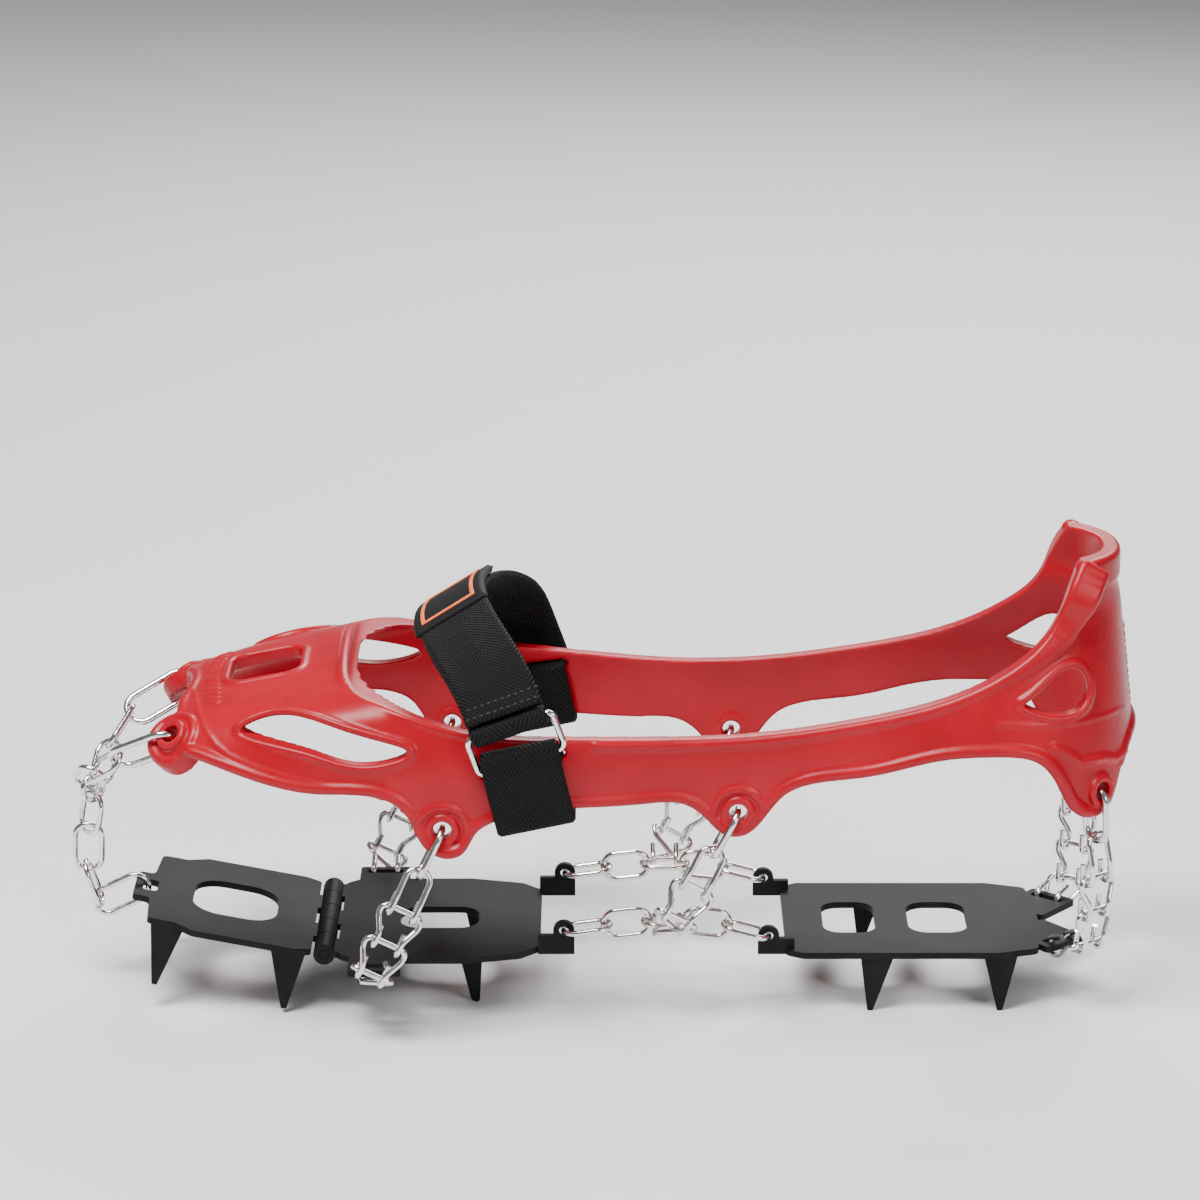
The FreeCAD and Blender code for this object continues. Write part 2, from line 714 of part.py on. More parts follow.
def middle_plate():
    """Plate under the ball of the foot: hinge knuckles, two ears, two spikes, two chain lugs."""
    half = [(-79, 30), (-74, 34), (-40, 34), (-24, 30), (-18, 24), (-18, 12)]
    plate = slab([(x - dim("hinge_x"), y) for x, y in both_sides(half)], 3.0)
    plate = plate.cut(slot(22, 46, -9, 9))
    pieces = knuckles([(-29, -18), (-6, 6), (18, 29)], 1, dim("hinge_pin_radius"))
    hinge_x = dim("hinge_x")
    for side_name, side in SIDES.items():
        seat = seats["ball", side_name]
        local = Vector(seat.x - hinge_x, seat.y, 0)
        pieces.append(ear(frame_placement(local, Vector(0, side, 0), Vector(-side, 0, 0))))
        pieces.append(
            spike(
                -43.5 - hinge_x, -35.0 - hinge_x, -37.2 - hinge_x,
                -dim("spike_length"), side * 22, -side * 40,
            )
        )
        x = CHAIN_ENDS["mid"].x - hinge_x
        z = LUG_Z["mid"] - plate_mid_z
        pieces.append(lug(x, side * dim("arch_chain_y"), z))
        stalk = Part.makeBox(11, 2, 6.0, Vector(x - 11 + 3.2, side * dim("arch_chain_y") - 1, -1))
        pieces.append(stalk)
    plate = plate.multiFuse(pieces)
    for side in SIDES.values():
        x = CHAIN_ENDS["mid"].x - hinge_x
        z = LUG_Z["mid"] - plate_mid_z
        centre = Vector(x, side * dim("arch_chain_y") - 3, z)
        plate = plate.cut(Part.makeCylinder(1.5, 6, centre, Vector(0, 1, 0)))
    return plate.removeSplitter()


def toe_plate():
    """Hinged plate under the toes: four spikes and a tongue with a slot for the toe chain."""
    half = [(-4, 29), (-9, 31), (-40, 31), (-46, 27), (-54, 27), (-55, 10), (-60.2, 10)]
    plate = slab(both_sides(half[::-1]), 1.9)
    plate = plate.cut(slot(-57.8, -53.2, -4.5, 4.5)).cut(slot(-42, -16, -14, 14))
    pieces = knuckles([(-17.6, -6.4), (6.4, 17.6)], -1, dim("hinge_pin_radius") + 0.15)
    for side in SIDES.values():
        length = dim("spike_length")
        pieces.append(spike(-16.4, -5.4, -9.0, -length - 0.6, side * 30))
        pieces.append(spike(-53.0, -42.4, -48.6, -length - 2.0, side * 26))
    return plate.multiFuse(pieces).removeSplitter()


def heel_plate():
    """Plate under the heel: four spikes, two corner ears and two chain lugs."""
    half = [(56, 16), (56, 27), (61, 30), (120, 30), (132, 26), (134, 12)]
    plate = slab(both_sides(half), 2.6)
    plate = plate.cut(slot(68, 84, -13, 13)).cut(slot(94, 112, -13, 13))
    pieces = []
    x = CHAIN_ENDS["heel"].x
    z = LUG_Z["heel"] - plate_mid_z
    for side_name, side in SIDES.items():
        seat = seats["heel", side_name]
        normal = mirrored(left_eyelets["heel"][1], side)
        out = Vector(normal.x, normal.y, 0).normalize()
        local = Vector(seat.x, seat.y, 0)
        pieces.append(ear(frame_placement(local, out, UP.cross(out))))
        pieces.append(spike(78.2, 88.8, 81.4, -dim("spike_length"), side * 28))
        pieces.append(spike(115.2, 125.8, 120.5, -dim("spike_length"), side * 28))
        pieces.append(lug(x, side * dim("arch_chain_y"), z))
        pieces.append(Part.makeBox(11, 2, 5.0, Vector(x - 3.2, side * dim("arch_chain_y") - 1, -1)))
    plate = plate.multiFuse(pieces)
    for side in SIDES.values():
        centre = Vector(x, side * dim("arch_chain_y") - 3, z)
        plate = plate.cut(Part.makeCylinder(1.5, 6, centre, Vector(0, 1, 0)))
    return plate.removeSplitter()


CHAIN_ENDS = lug_holes
level = FreeCAD.Placement(hinge_centre(), FreeCAD.Rotation())
tilted = FreeCAD.Placement(
    hinge_centre(), FreeCAD.Rotation(Vector(0, 1, 0), dim("toe_plate_tilt"))
)
flat = FreeCAD.Placement(Vector(0, 0, plate_mid_z), FreeCAD.Rotation())
feature("mid_spike_plate", middle_plate(), level)
feature("front_spike_plate", toe_plate(), tilted)
feature("heel_spike_plate", heel_plate(), flat)

pin = doc.addObject("Part::Cylinder", "hinge_pin")
pin.setExpression("Radius", "dimensions.hinge_pin_radius")
pin.setExpression("Height", "dimensions.hinge_pin_length")
pin.Placement = FreeCAD.Placement(
    hinge_centre() - Vector(0, dim("hinge_pin_length") / 2, 0),
    FreeCAD.Rotation(Vector(1, 0, 0), -90),
)
keep("hinge_pin", pin)
doc.recompute()


# ---------------------------------------------------------------- strap

def across_strap(face):
    """A profile in the local YZ plane carried across the width of the webbing."""
    return outward(face.extrude(Vector(dim("strap_width"), 0, 0)))


def bow(y):
    """One over the middle of the foot and zero at the strap's two ends."""
    return max(0.0, 1 - (y / dim("strap_ring_y")) ** 2)


def strip(points, inner, outer, first, last=math.inf):
    """Webbing over (y, z) points from y = first to last, between two offsets outward of it.

    Towards the middle it reaches forward and turns to lie on the slope of the instep.
    """
    reach = dim("strap_reach")
    curve = Part.BSplineCurve()
    curve.interpolate([Vector(-reach * bow(y) ** 1.5, y, z) for y, z in points])
    ends = []
    for level in (first, last):
        low, high = curve.FirstParameter, curve.LastParameter
        for _ in range(40):
            middle = (low + high) / 2
            if curve.value(middle).y < level:
                low = middle
            else:
                high = middle
        ends.append(middle)
    steps = 40
    rows = {}
    for step in range(steps + 1):
        parameter = ends[0] + (ends[1] - ends[0]) * step / steps
        tangent = curve.tangent(parameter)[0]
        centre = curve.value(parameter)
        turn = math.radians(dim("strap_twist") * bow(centre.y))
        across = Vector(math.cos(turn), 0, math.sin(turn))
        rise = across.cross(tangent).normalize()
        for offset in (inner, outer):
            for side in (-1, 1):
                spot = centre + rise * offset + across * (side * dim("strap_width") / 2)
                rows.setdefault((offset, side), []).append(spot)
    edges = {}
    for key, row in rows.items():
        line = Part.BSplineCurve()
        line.interpolate(row)
        edges[key] = line.toShape()
    corners = [(inner, -1), (inner, 1), (outer, 1), (outer, -1)]
    faces = []
    for one, two in zip(corners, corners[1:] + corners[:1]):
        faces.append(Part.makeRuledSurface(edges[one], edges[two]))
    for index in (0, -1):
        spots = [rows[key][index] for key in corners]
        faces.append(Part.Face(Part.makePolygon(spots + spots[:1])))
    shell = Part.makeShell(faces)
    shell.sewShape()
    return outward(Part.makeSolid(shell))


def webbing_loop(corners, radii):
    """A closed band of webbing whose centre line has the given (y, z) corners."""
    x = -dim("strap_width") / 2
    half = dim("strap_thickness") / 2
    path = rounded_loop([Vector(x, y, z) for y, z in corners], radii)
    wire = Part.Wire([piece.toShape() for piece in path])
    outer = Part.Face(wire.makeOffset2D(half))
    inner = Part.Face(wire.makeOffset2D(-half))
    ring = outer.cut(inner) if outer.Area > inner.Area else inner.cut(outer)
    return across_strap(ring.Faces[0])


half_web = dim("strap_thickness") / 2
fold = dim("strap_ring_wire") / 2 + 0.35 + half_web
bar_height = dim("strap_ring_height") / 2
ring_y = dim("strap_ring_y")

near_y = -ring_y + fold
ARCH = [
    (near_y, bar_height), (-50.9, 10.0), (-46.5, 16.5), (-38.0, 21.7), (-26.0, 26.2),
    (-13.0, 29.2), (0.0, 30.2), (13.0, 29.2), (26.0, 26.2), (38.0, 21.7), (46.8, 16.3),
    (51.6, 11.3), (53.6, 7.0), (54.1, 3.0), (ring_y, -2.0), (ring_y, -8.0), (ring_y, -13.5),
    (ring_y, -19.0),
]
FLAP = [
    (-56.0, 9.9), (-53.9, 12.3), (-51.6, 14.4), (-47.9, 18.2), (-39.0, 23.65), (-26.7, 28.35),
    (-14.9, 31.15),
]
strap_place = strap_frame("strap")
loop_place = strap_frame("strap_loop")

strap = strip(ARCH, -half_web, half_web, near_y)
sleeve_start = Vector(-dim("strap_width") / 2, -ring_y, bar_height)
sleeve = Part.makeCylinder(fold + half_web, dim("strap_width"), sleeve_start, Vector(1, 0, 0))
sleeve_hole = Part.makeCylinder(
    fold - half_web, dim("strap_width"), sleeve_start, Vector(1, 0, 0)
)
strap = strap.fuse(sleeve).cut(sleeve_hole).removeSplitter()
feature("strap", strap, strap_place)

flap = strip(FLAP, -half_web, half_web, -56.0, -14.9)
feature("strap_flap", flap, strap_place)
label = strip(ARCH, half_web + 0.01, half_web + 2.7, -14.2, 18.5)
feature("strap_label", label, strap_place)

ring_path = stadium_path(dim("strap_ring_half_width") * 2, bar_height, 2.0)
ring_place = strap_place.multiply(
    FreeCAD.Placement(Vector(0, -ring_y, 0), FreeCAD.Rotation(Vector(1, 0, 0), 90))
)
feature("strap_ring", wire_form(ring_path, dim("strap_ring_wire")), ring_place)

lower_bar = loop_place.inverse().multVec(
    strap_place.multVec(Vector(0, -ring_y, -bar_height))
)
slot_z = dim("strap_slot_height")
foot_z = -13.0
fold_top = lower_bar.z + fold + 1.75
ring_loop = webbing_loop(
    [
        (-52.2, foot_z), (-ring_y - fold, lower_bar.z - 2.5), (-ring_y - fold, fold_top),
        (-ring_y + fold, fold_top), (-ring_y + fold, slot_z), (-40.3, slot_z), (-40.3, foot_z),
    ],
    [1.6, 4.0, fold - 0.01, fold - 0.01, 1.1, 1.6, 1.6],
)
feature("strap_ring_loop", ring_loop, loop_place)
anchor_y = ring_y - 2 * half_web - 0.1
anchor_loop = webbing_loop(
    [(anchor_y, foot_z), (anchor_y, slot_z), (40.3, slot_z), (40.3, foot_z)], 1.6
)
feature("strap_anchor_loop", anchor_loop, loop_place)


# ---------------------------------------------------------------- check and export

doc.recompute()
for obj in doc.Objects:
    state = [word for word in obj.State if word in ("Invalid", "Error")]
    if state:
        raise RuntimeError(f"{obj.Label}: {state}")
for name, obj in parts.items():
    if obj.Shape.isNull() or not obj.Shape.isValid() or obj.Shape.Volume <= 0:
        raise RuntimeError(f"{name}: bad shape")

os.makedirs("parts", exist_ok=True)
for name, obj in parts.items():
    obj.Shape.exportStep(f"parts/{name}.step")
print(f"{len(parts)} sub-parts written")
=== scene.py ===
import json
import math

import bmesh
import bpy
import numpy as np
from mathutils import Matrix, Vector
from mathutils.bvhtree import BVHTree


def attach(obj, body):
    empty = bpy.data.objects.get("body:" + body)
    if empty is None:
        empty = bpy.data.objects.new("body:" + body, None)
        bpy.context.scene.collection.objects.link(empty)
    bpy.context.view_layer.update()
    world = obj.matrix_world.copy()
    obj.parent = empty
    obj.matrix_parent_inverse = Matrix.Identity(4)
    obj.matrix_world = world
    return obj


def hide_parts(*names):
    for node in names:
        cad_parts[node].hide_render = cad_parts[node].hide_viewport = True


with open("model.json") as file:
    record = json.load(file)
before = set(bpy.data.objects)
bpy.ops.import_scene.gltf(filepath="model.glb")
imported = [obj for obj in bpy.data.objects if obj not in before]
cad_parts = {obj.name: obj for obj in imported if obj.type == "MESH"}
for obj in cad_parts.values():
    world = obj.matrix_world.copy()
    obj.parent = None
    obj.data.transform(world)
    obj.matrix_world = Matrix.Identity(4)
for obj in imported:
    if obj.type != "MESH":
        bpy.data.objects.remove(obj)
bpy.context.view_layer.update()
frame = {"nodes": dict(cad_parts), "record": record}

MM = 0.001
nodes = frame["nodes"]
record = frame["record"]
node_body = {n: b for b, ns in record["behaviour"]["bodies"].items() for n in ns}


# ------------------------------------------------------------------ materials

class Shader:
    """A small wrapper that adds nodes to one material and links them."""

    def __init__(self, name):
        self.material = bpy.data.materials.new(name)
        self.material.use_nodes = True
        self.tree = self.material.node_tree
        self.bsdf = self.tree.nodes["Principled BSDF"]

    def node(self, kind, inputs=None, **settings):
        made = self.tree.nodes.new(kind)
        for key, value in settings.items():
            setattr(made, key, value)
        for key, value in (inputs or {}).items():
            self.put(made.inputs[key], value)
        return made

    def put(self, socket, value):
        if isinstance(value, bpy.types.NodeSocket):
            self.tree.links.new(value, socket)
        else:
            socket.default_value = value

    def math(self, operation, a, b=0.0, c=0.0):
        made = self.node("ShaderNodeMath", operation=operation)
        for socket, value in zip(made.inputs, (a, b, c)):
            self.put(socket, value)
        return made.outputs[0]

    def set(self, **values):
        for key, value in values.items():
            self.put(self.bsdf.inputs[key.replace("_", " ")], value)

    def mix(self, factor, a, b):
        made = self.node("ShaderNodeMix", data_type="RGBA")
        self.put(made.inputs[0], factor)
        self.put(made.inputs[6], a)
        self.put(made.inputs[7], b)
        return made.outputs[2]

    def ramp(self, value, low, high):
        made = self.node("ShaderNodeMapRange")
        made.interpolation_type = "SMOOTHSTEP"
        self.put(made.inputs[0], value)
        made.inputs[1].default_value = low
        made.inputs[2].default_value = high
        return made.outputs[0]

    def noise(self, scale, detail, rough, vector):
        inputs = {"Scale": scale, "Detail": detail, "Roughness": rough, "Vector": vector}
        return self.node("ShaderNodeTexNoise", inputs).outputs["Fac"]

    def bump(self, height, strength, distance):
        made = self.node(
            "ShaderNodeBump", {"Strength": strength, "Distance": distance, "Height": height}
        )
        self.put(self.bsdf.inputs["Normal"], made.outputs[0])

    def place(self):
        return self.node("ShaderNodeTexCoord").outputs["Object"]


def grey(value):
    return (value, value, value, 1.0)


def rubber():
    s = Shader("red_rubber")
    place = s.place()
    cloud = s.noise(45.0, 4.0, 0.55, place)
    colour = s.mix(s.ramp(cloud, 0.35, 0.7), (0.37, 0.0, 0.009, 1), (0.44, 0.0, 0.014, 1))
    s.set(Base_Color=colour, Specular_IOR_Level=0.3)
    rough = s.math("MULTIPLY_ADD", s.noise(160.0, 3.0, 0.5, place), 0.14, 0.27)
    s.set(Roughness=rough)
    fine = s.noise(1400.0, 2.0, 0.5, place)
    broad = s.noise(90.0, 2.0, 0.5, place)
    s.bump(s.math("MULTIPLY_ADD", broad, 1.5, s.math("MULTIPLY", fine, 0.25)), 0.25, 0.0002)
    return s.material


def chain_metal():
    s = Shader("chain_nickel")
    place = s.place()
    tarnish = s.noise(260.0, 3.0, 0.6, place)
    colour = s.mix(s.ramp(tarnish, 0.45, 0.75), (0.86, 0.85, 0.83, 1), (0.62, 0.60, 0.58, 1))
    s.set(Base_Color=colour, Metallic=1.0)
    s.set(Roughness=s.math("MULTIPLY_ADD", s.noise(520.0, 4.0, 0.6, place), 0.16, 0.07))
    s.bump(s.noise(700.0, 3.0, 0.6, place), 0.12, 0.0002)
    return s.material


def plate_paint():
    s = Shader("black_powder_coat")
    place = s.place()
    orange_peel = s.noise(620.0, 2.0, 0.5, place)
    wear = s.noise(75.0, 5.0, 0.65, place)
    colour = s.mix(s.ramp(wear, 0.3, 0.8), (0.005, 0.005, 0.006, 1), (0.014, 0.014, 0.015, 1))
    s.set(Base_Color=colour)
    rough = s.math("MULTIPLY_ADD", wear, 0.2, 0.42)
    s.set(Roughness=rough, Specular_IOR_Level=0.12)
    s.bump(orange_peel, 0.3, 0.00025)
    return s.material


def webbing(name, fold=1.5, zone=8.6, tone=1.0):
    """Herringbone webbing: twill stripes of short floats that turn back at each fold line, with a
    painted highlight on the float tops.
    """
    s = Shader(name)
    uv = s.node("ShaderNodeUVMap").outputs[0]
    split = s.node("ShaderNodeSeparateXYZ", {"Vector": uv})
    across = s.math("MULTIPLY", split.outputs[0], 100.0)
    along = s.math("MULTIPLY", split.outputs[1], 100.0)
    zigzag = s.math("PINGPONG", s.math("ADD", across, 8 * zone - fold), zone)
    diagonal = s.math("MULTIPLY_ADD", zigzag, 1.1, along)
    stripe = s.math("SINE", s.math("MULTIPLY", diagonal, 2 * math.pi / 1.55))
    stripe = s.math("MULTIPLY_ADD", stripe, 0.5, 0.5)
    stagger = s.math("MULTIPLY_ADD", diagonal, 0.5 / 1.55, s.math("DIVIDE", zigzag, 0.78))
    beads = s.math("SINE", s.math("MULTIPLY", stagger, 2 * math.pi))
    beads = s.math("MULTIPLY_ADD", beads, 0.5, 0.5)
    weave = s.math("MULTIPLY", stripe, s.math("MULTIPLY_ADD", beads, 0.75, 0.25))
    fuzz = s.noise(1500.0, 4.0, 0.7, s.place())
    height = s.math("MULTIPLY_ADD", fuzz, 0.25, weave)
    cloud = s.noise(60.0, 3.0, 0.6, s.place())
    dark = s.mix(cloud, grey(0.0015 * tone), grey(0.004 * tone))
    # light is the painted highlight: the raised float tops are painted lighter grey than the
    # near-black yarn, rising with the weave's height
    light = s.mix(fuzz, grey(0.012 * tone), grey(0.040 * tone))
    s.set(Base_Color=s.mix(s.math("POWER", weave, 1.4), dark, light))
    s.set(Roughness=0.62, Specular_IOR_Level=0.12)
    s.bump(height, 0.8, 0.0005)
    return s.material


def patch_material():
    s = Shader("patch_black")
    place = s.place()
    grain = s.noise(900.0, 4.0, 0.65, place)
    s.set(Base_Color=s.mix(grain, grey(0.004), grey(0.016)), Roughness=0.62)
    s.set(Specular_IOR_Level=0.15)
    s.bump(s.math("ADD", grain, s.noise(240.0, 3.0, 0.5, place)), 0.5, 0.0003)
    return s.material


def outline_material():
    s = Shader("patch_orange")
    place = s.place()
    mottle = s.noise(300.0, 3.0, 0.5, place)
    s.set(Base_Color=s.mix(mottle, (0.86, 0.13, 0.025, 1), (0.93, 0.19, 0.05, 1)))
    s.set(Roughness=s.math("MULTIPLY_ADD", mottle, 0.2, 0.35))
    s.bump(mottle, 0.15, 0.0002)
    return s.material


def thread_material():
    s = Shader("black_thread")
    twist = s.noise(2500.0, 2.0, 0.5, s.place())
    s.set(Base_Color=s.mix(twist, grey(0.004), grey(0.018)), Roughness=0.55)
    s.bump(twist, 0.4, 0.0001)
    return s.material


RUBBER = rubber()
CHAIN = chain_metal()
PAINT = plate_paint()
WEB = webbing("herringbone_webbing")
LOOP_WEB = webbing("herringbone_webbing_lower", fold=0.0, zone=7.6, tone=0.8)
PATCH = patch_material()
ORANGE = outline_material()
THREAD = thread_material()


# ------------------------------------------------------------------ mesh helpers

def new_object(name, bm, material, body, smooth_angle=40):
    mesh = bpy.data.meshes.new(name)
    bm.to_mesh(mesh)
    bm.free()
    obj = bpy.data.objects.new(name, mesh)
    bpy.context.scene.collection.objects.link(obj)
    mesh.materials.append(material)
    if smooth_angle:
        mesh.shade_smooth()
        mesh.set_sharp_from_angle(angle=math.radians(smooth_angle))
    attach(obj, body)
    return obj


def apply_modifiers(obj):
    bpy.context.view_layer.update()
    depsgraph = bpy.context.evaluated_depsgraph_get()
    mesh = bpy.data.meshes.new_from_object(obj.evaluated_get(depsgraph))
    old = obj.data
    obj.modifiers.clear()
    obj.data = mesh
    bpy.data.meshes.remove(old)


def node_bmesh(name, merge=2e-6):
    bm = bmesh.new()
    bm.from_mesh(nodes[name].data)
    bmesh.ops.remove_doubles(bm, verts=bm.verts, dist=merge)
    bm.normal_update()
    return bm


def ball_mesh(centres, radii):
    """One mesh of many small icospheres."""
    bm = bmesh.new()
    bmesh.ops.create_icosphere(bm, subdivisions=2, radius=1.0)
    unit = np.array([v.co for v in bm.verts])
    faces = np.array([[v.index for v in f.verts] for f in bm.faces])
    bm.free()
    centres, radii = np.array(centres), np.array(radii)
    verts = centres[:, None] + unit[None] * radii[:, None, None]
    offsets = np.arange(len(centres)) * len(unit)
    faces = faces[None] + offsets[:, None, None]
    mesh = bpy.data.meshes.new("balls")
    mesh.from_pydata(verts.reshape(-1, 3), [], faces.reshape(-1, 3).tolist())
    return mesh


def add_annulus(bm, centre, normal, inner, outer, low, high, segments=48):
    """A closed ring of rectangular section about the normal, from low to high along it."""
    turn = Vector(normal).to_track_quat("Z", "Y").to_matrix().to_4x4()
    place = Matrix.Translation(centre) @ turn
    rings = []
    for radius, height in ((inner, low), (outer, low), (outer, high), (inner, high)):
        ring = []
        for step in range(segments):
            angle = 2 * math.pi * step / segments
            spot = Vector((radius * math.cos(angle), radius * math.sin(angle), height))
            ring.append(bm.verts.new(place @ spot))
        rings.append(ring)
    for index in range(4):
        a, b = rings[index], rings[(index + 1) % 4]
        for step in range(segments):
            nxt = (step + 1) % segments
            bm.faces.new((a[step], b[step], b[nxt], a[nxt]))


# ------------------------------------------------------------------ harness

def eyelets():
    """Centre on the outer face and outward normal of each eyelet, from the CAD harness."""
    half_web = 1.9 * MM
    found = {}
    for joint in record["behaviour"]["joints"]:
        name = joint["child"]
        if "_ring_" not in name or name.startswith("strap"):
            continue
        place, side = name.split("_ring_")
        sign = 1 if side == "left" else -1
        if place == "toe":
            spot = Vector((-125.6 * MM, sign * 29.3 * MM, 86.7 * MM))
            normal = Vector((-0.509, sign * 0.545, 0.666)).normalized()
        else:
            spot = Vector(joint["pos_m"])
            normal = Vector((0, sign, 0))
            if place == "heel":
                normal = Vector((0.650, sign * 0.760, 0.0)).normalized()
        found[place, side] = (spot + normal * half_web, normal)
    return found


EYES = eyelets()


def outward_of(point):
    """Roughly outward from the shoe: sideways along the rails and heel, also up at the toe."""
    lift = min(1.0, max(0.0, (-0.045 - point.x) / 0.03))
    height = point.z + (0.058 - point.z) * lift
    core = Vector((max(-0.1, min(0.12, point.x)), 0.0, height))
    return (point - core).normalized()


EYE_CLEAR = 6.6 * MM
SLOT_X = -22.2 * MM
SLOT_HALF_LENGTH = 14.5 * MM
SLOT_LOW, SLOT_HIGH = 77.5 * MM, 91.5 * MM
WINDOW_SPAN = 62 * MM


def rim_edges(bm):
    """Sharp edges on the harness's outer side, away from its eyelets and strap slots.

    Each comes with its middle, the outer face's normal and the cut wall's normal. An edge on the
    inner side has one face that looks straight inward.
    """
    found = []
    for edge in bm.edges:
        if len(edge.link_faces) != 2:
            continue
        first, second = edge.link_faces
        if first.normal.dot(second.normal) > 0.88:
            continue
        middle = (edge.verts[0].co + edge.verts[1].co) / 2
        out = outward_of(middle)
        faces = sorted(edge.link_faces, key=lambda f: -f.normal.dot(out))
        if faces[0].normal.dot(out) < 0.5 or faces[1].normal.dot(out) < -0.8:
            continue
        if any((middle - centre).length < EYE_CLEAR for centre, _ in EYES.values()):
            continue
        if abs(middle.x - SLOT_X) < SLOT_HALF_LENGTH and SLOT_LOW < middle.z < SLOT_HIGH:
            continue
        found.append((edge, middle, faces[0].normal.copy(), faces[1].normal.copy()))
    return found


def window_edges(rims):
    """Those rim edges that run round a window and not along the outline."""
    by_vert = {}
    for edge, *_ in rims:
        for vert in edge.verts:
            by_vert.setdefault(vert.index, []).append(edge)
    seen, small = set(), set()
    for edge, *_ in rims:
        if edge.index in seen:
            continue
        group, queue = [], [edge]
        seen.add(edge.index)
        while queue:
            current = queue.pop()
            group.append(current)
            for vert in current.verts:
                for other in by_vert[vert.index]:
                    if other.index not in seen:
                        seen.add(other.index)
                        queue.append(other)
        spots = np.array([v.co for e in group for v in e.verts])
        if np.ptp(spots, axis=0).max() < WINDOW_SPAN:
            small.update(e.index for e in group)
    return small


class Beads:
    """Small balls that are melted into the harness to raise its beads and ridges."""

    def __init__(self):
        self.centres, self.radii = [], []

    def add(self, centre, radius):
        self.centres.append(centre)
        self.radii.append(radius)

    def line(self, hits, radius, proud):
        for spot, normal in hits:
            self.add(spot + normal * (proud - radius), radius)


def smooth_share(value, low, high):
    share = min(1.0, max(0.0, (value - low) / (high - low)))
    return share * share * (3 - 2 * share)


def add_rims(bm, beads):
    """A bead along every rim: fine round windows, bold under the heel, broad on its tab."""
    rims = rim_edges(bm)
    windows = window_edges(rims)
    for edge, _, outer, wall in rims:
        count = max(1, math.ceil(edge.calc_length() / (0.9 * MM)))
        for step in range(count):
            spot = edge.verts[0].co.lerp(edge.verts[1].co, (step + 0.5) / count)
            radius, proud, broad = 2.0 * MM, 1.35 * MM, 0.0
            if edge.index in windows:
                radius, proud = 1.35 * MM, 1.0 * MM
            elif wall.z < -0.3 and spot.x > 0.150 and spot.z > 0.076:
                radius, proud = 2.8 * MM, 3.2 * MM
            elif spot.x > 0.1 and wall.z > -0.2:
                share = smooth_share(spot.z, 0.104, 0.134)
                proud = (1.35 + 0.55 * share) * MM
                broad = 6.2 * share * MM
            rows = 1 + math.ceil(broad / (1.3 * MM))
            for row in range(rows):
                inward = radius - 0.2 * MM + broad * row / max(1, rows - 1)
                beads.add(spot + outer * (proud - radius) - wall * inward, radius)


# The camera looks down at the near side, from the right of the shoe.
VIEW_TILT = math.radians(17.0)
VIEW_DISTANCE = 1.4
VIEW_AXIS = Vector((0, math.cos(VIEW_TILT), -math.sin(VIEW_TILT)))
VIEW_UP = Vector((0, math.sin(VIEW_TILT), math.cos(VIEW_TILT)))
VIEW_TARGET = Vector((0, 0, 0.1206))
VIEW_FROM = VIEW_TARGET - VIEW_AXIS * VIEW_DISTANCE


def side_hits(tree, points, step=0.7):
    """Where a line of side-view points, in mm from the view's middle, meets the shell."""
    pts = np.array(points, float)
    lengths = np.concatenate([[0], np.cumsum(np.linalg.norm(np.diff(pts, axis=0), axis=1))])
    count = max(2, int(lengths[-1] / step))
    marks = np.linspace(0, lengths[-1], count + 1)
    hits = []
    for a, b in zip(np.interp(marks, lengths, pts[:, 0]), np.interp(marks, lengths, pts[:, 1])):
        through = VIEW_TARGET + Vector((a * MM, 0, 0)) + VIEW_UP * (b * MM)
        aim = (through - VIEW_FROM).normalized()
        spot, normal, _, _ = tree.ray_cast(VIEW_FROM, aim)
        if spot is None:
            continue
        if normal.dot(aim) > 0:
            normal.negate()
        for side in (1, -1):
            flip = Vector((1, side, 1))
            hits.append((spot * flip, normal * flip))
    return hits


# Raised lines as side-view points in mm from the view's middle, with radius and height in mm:
# one round the toe web, an arch over the heel eyelet, and one across the heel.
RIDGES = [
    ([(-121.2, -22.7), (-121.9, -27.0), (-120.6, -32.5), (-118.4, -38.6), (-115.3, -43.3),
      (-111.4, -46.6), (-102.8, -50.3), (-91.0, -53.8), (-75.3, -56.4), (-66.0, -59.5),
      (-59.5, -63.5)], 0.65, 0.6),
    ([(136.2, -44.3), (141.3, -46.7), (144.3, -48.7), (147.4, -48.0), (150.9, -47.2),
      (154.5, -47.5), (157.5, -45.2)], 1.3, 1.2),
    ([(119.0, -37.5), (130.0, -38.0), (142.0, -37.2), (152.0, -34.5), (157.5, -32.0)], 0.6, 0.5),
]


def add_ridges(tree, beads):
    """Thin raised lines on the toe web and heel, grip bars, and heel ribs."""
    for points, radius, proud in RIDGES:
        beads.line(side_hits(tree, points), radius * MM, proud * MM)
    for index in range(6):
        b = -24.2 - index * 1.35
        beads.line(side_hits(tree, [(-118.1, b), (-114.6, b + 0.2)], 0.3), 0.55 * MM, 0.75 * MM)
    for index in range(11):
        z = 0.1135 - index * 0.0023
        for y in np.linspace(-0.0042, 0.0042, 15):
            start = Vector((0.2, y, z))
            spot, normal, _, _ = tree.ray_cast(start, Vector((-1, 0, 0)))
            if spot is not None:
                beads.line([(spot, normal)], 0.75 * MM, 0.75 * MM)


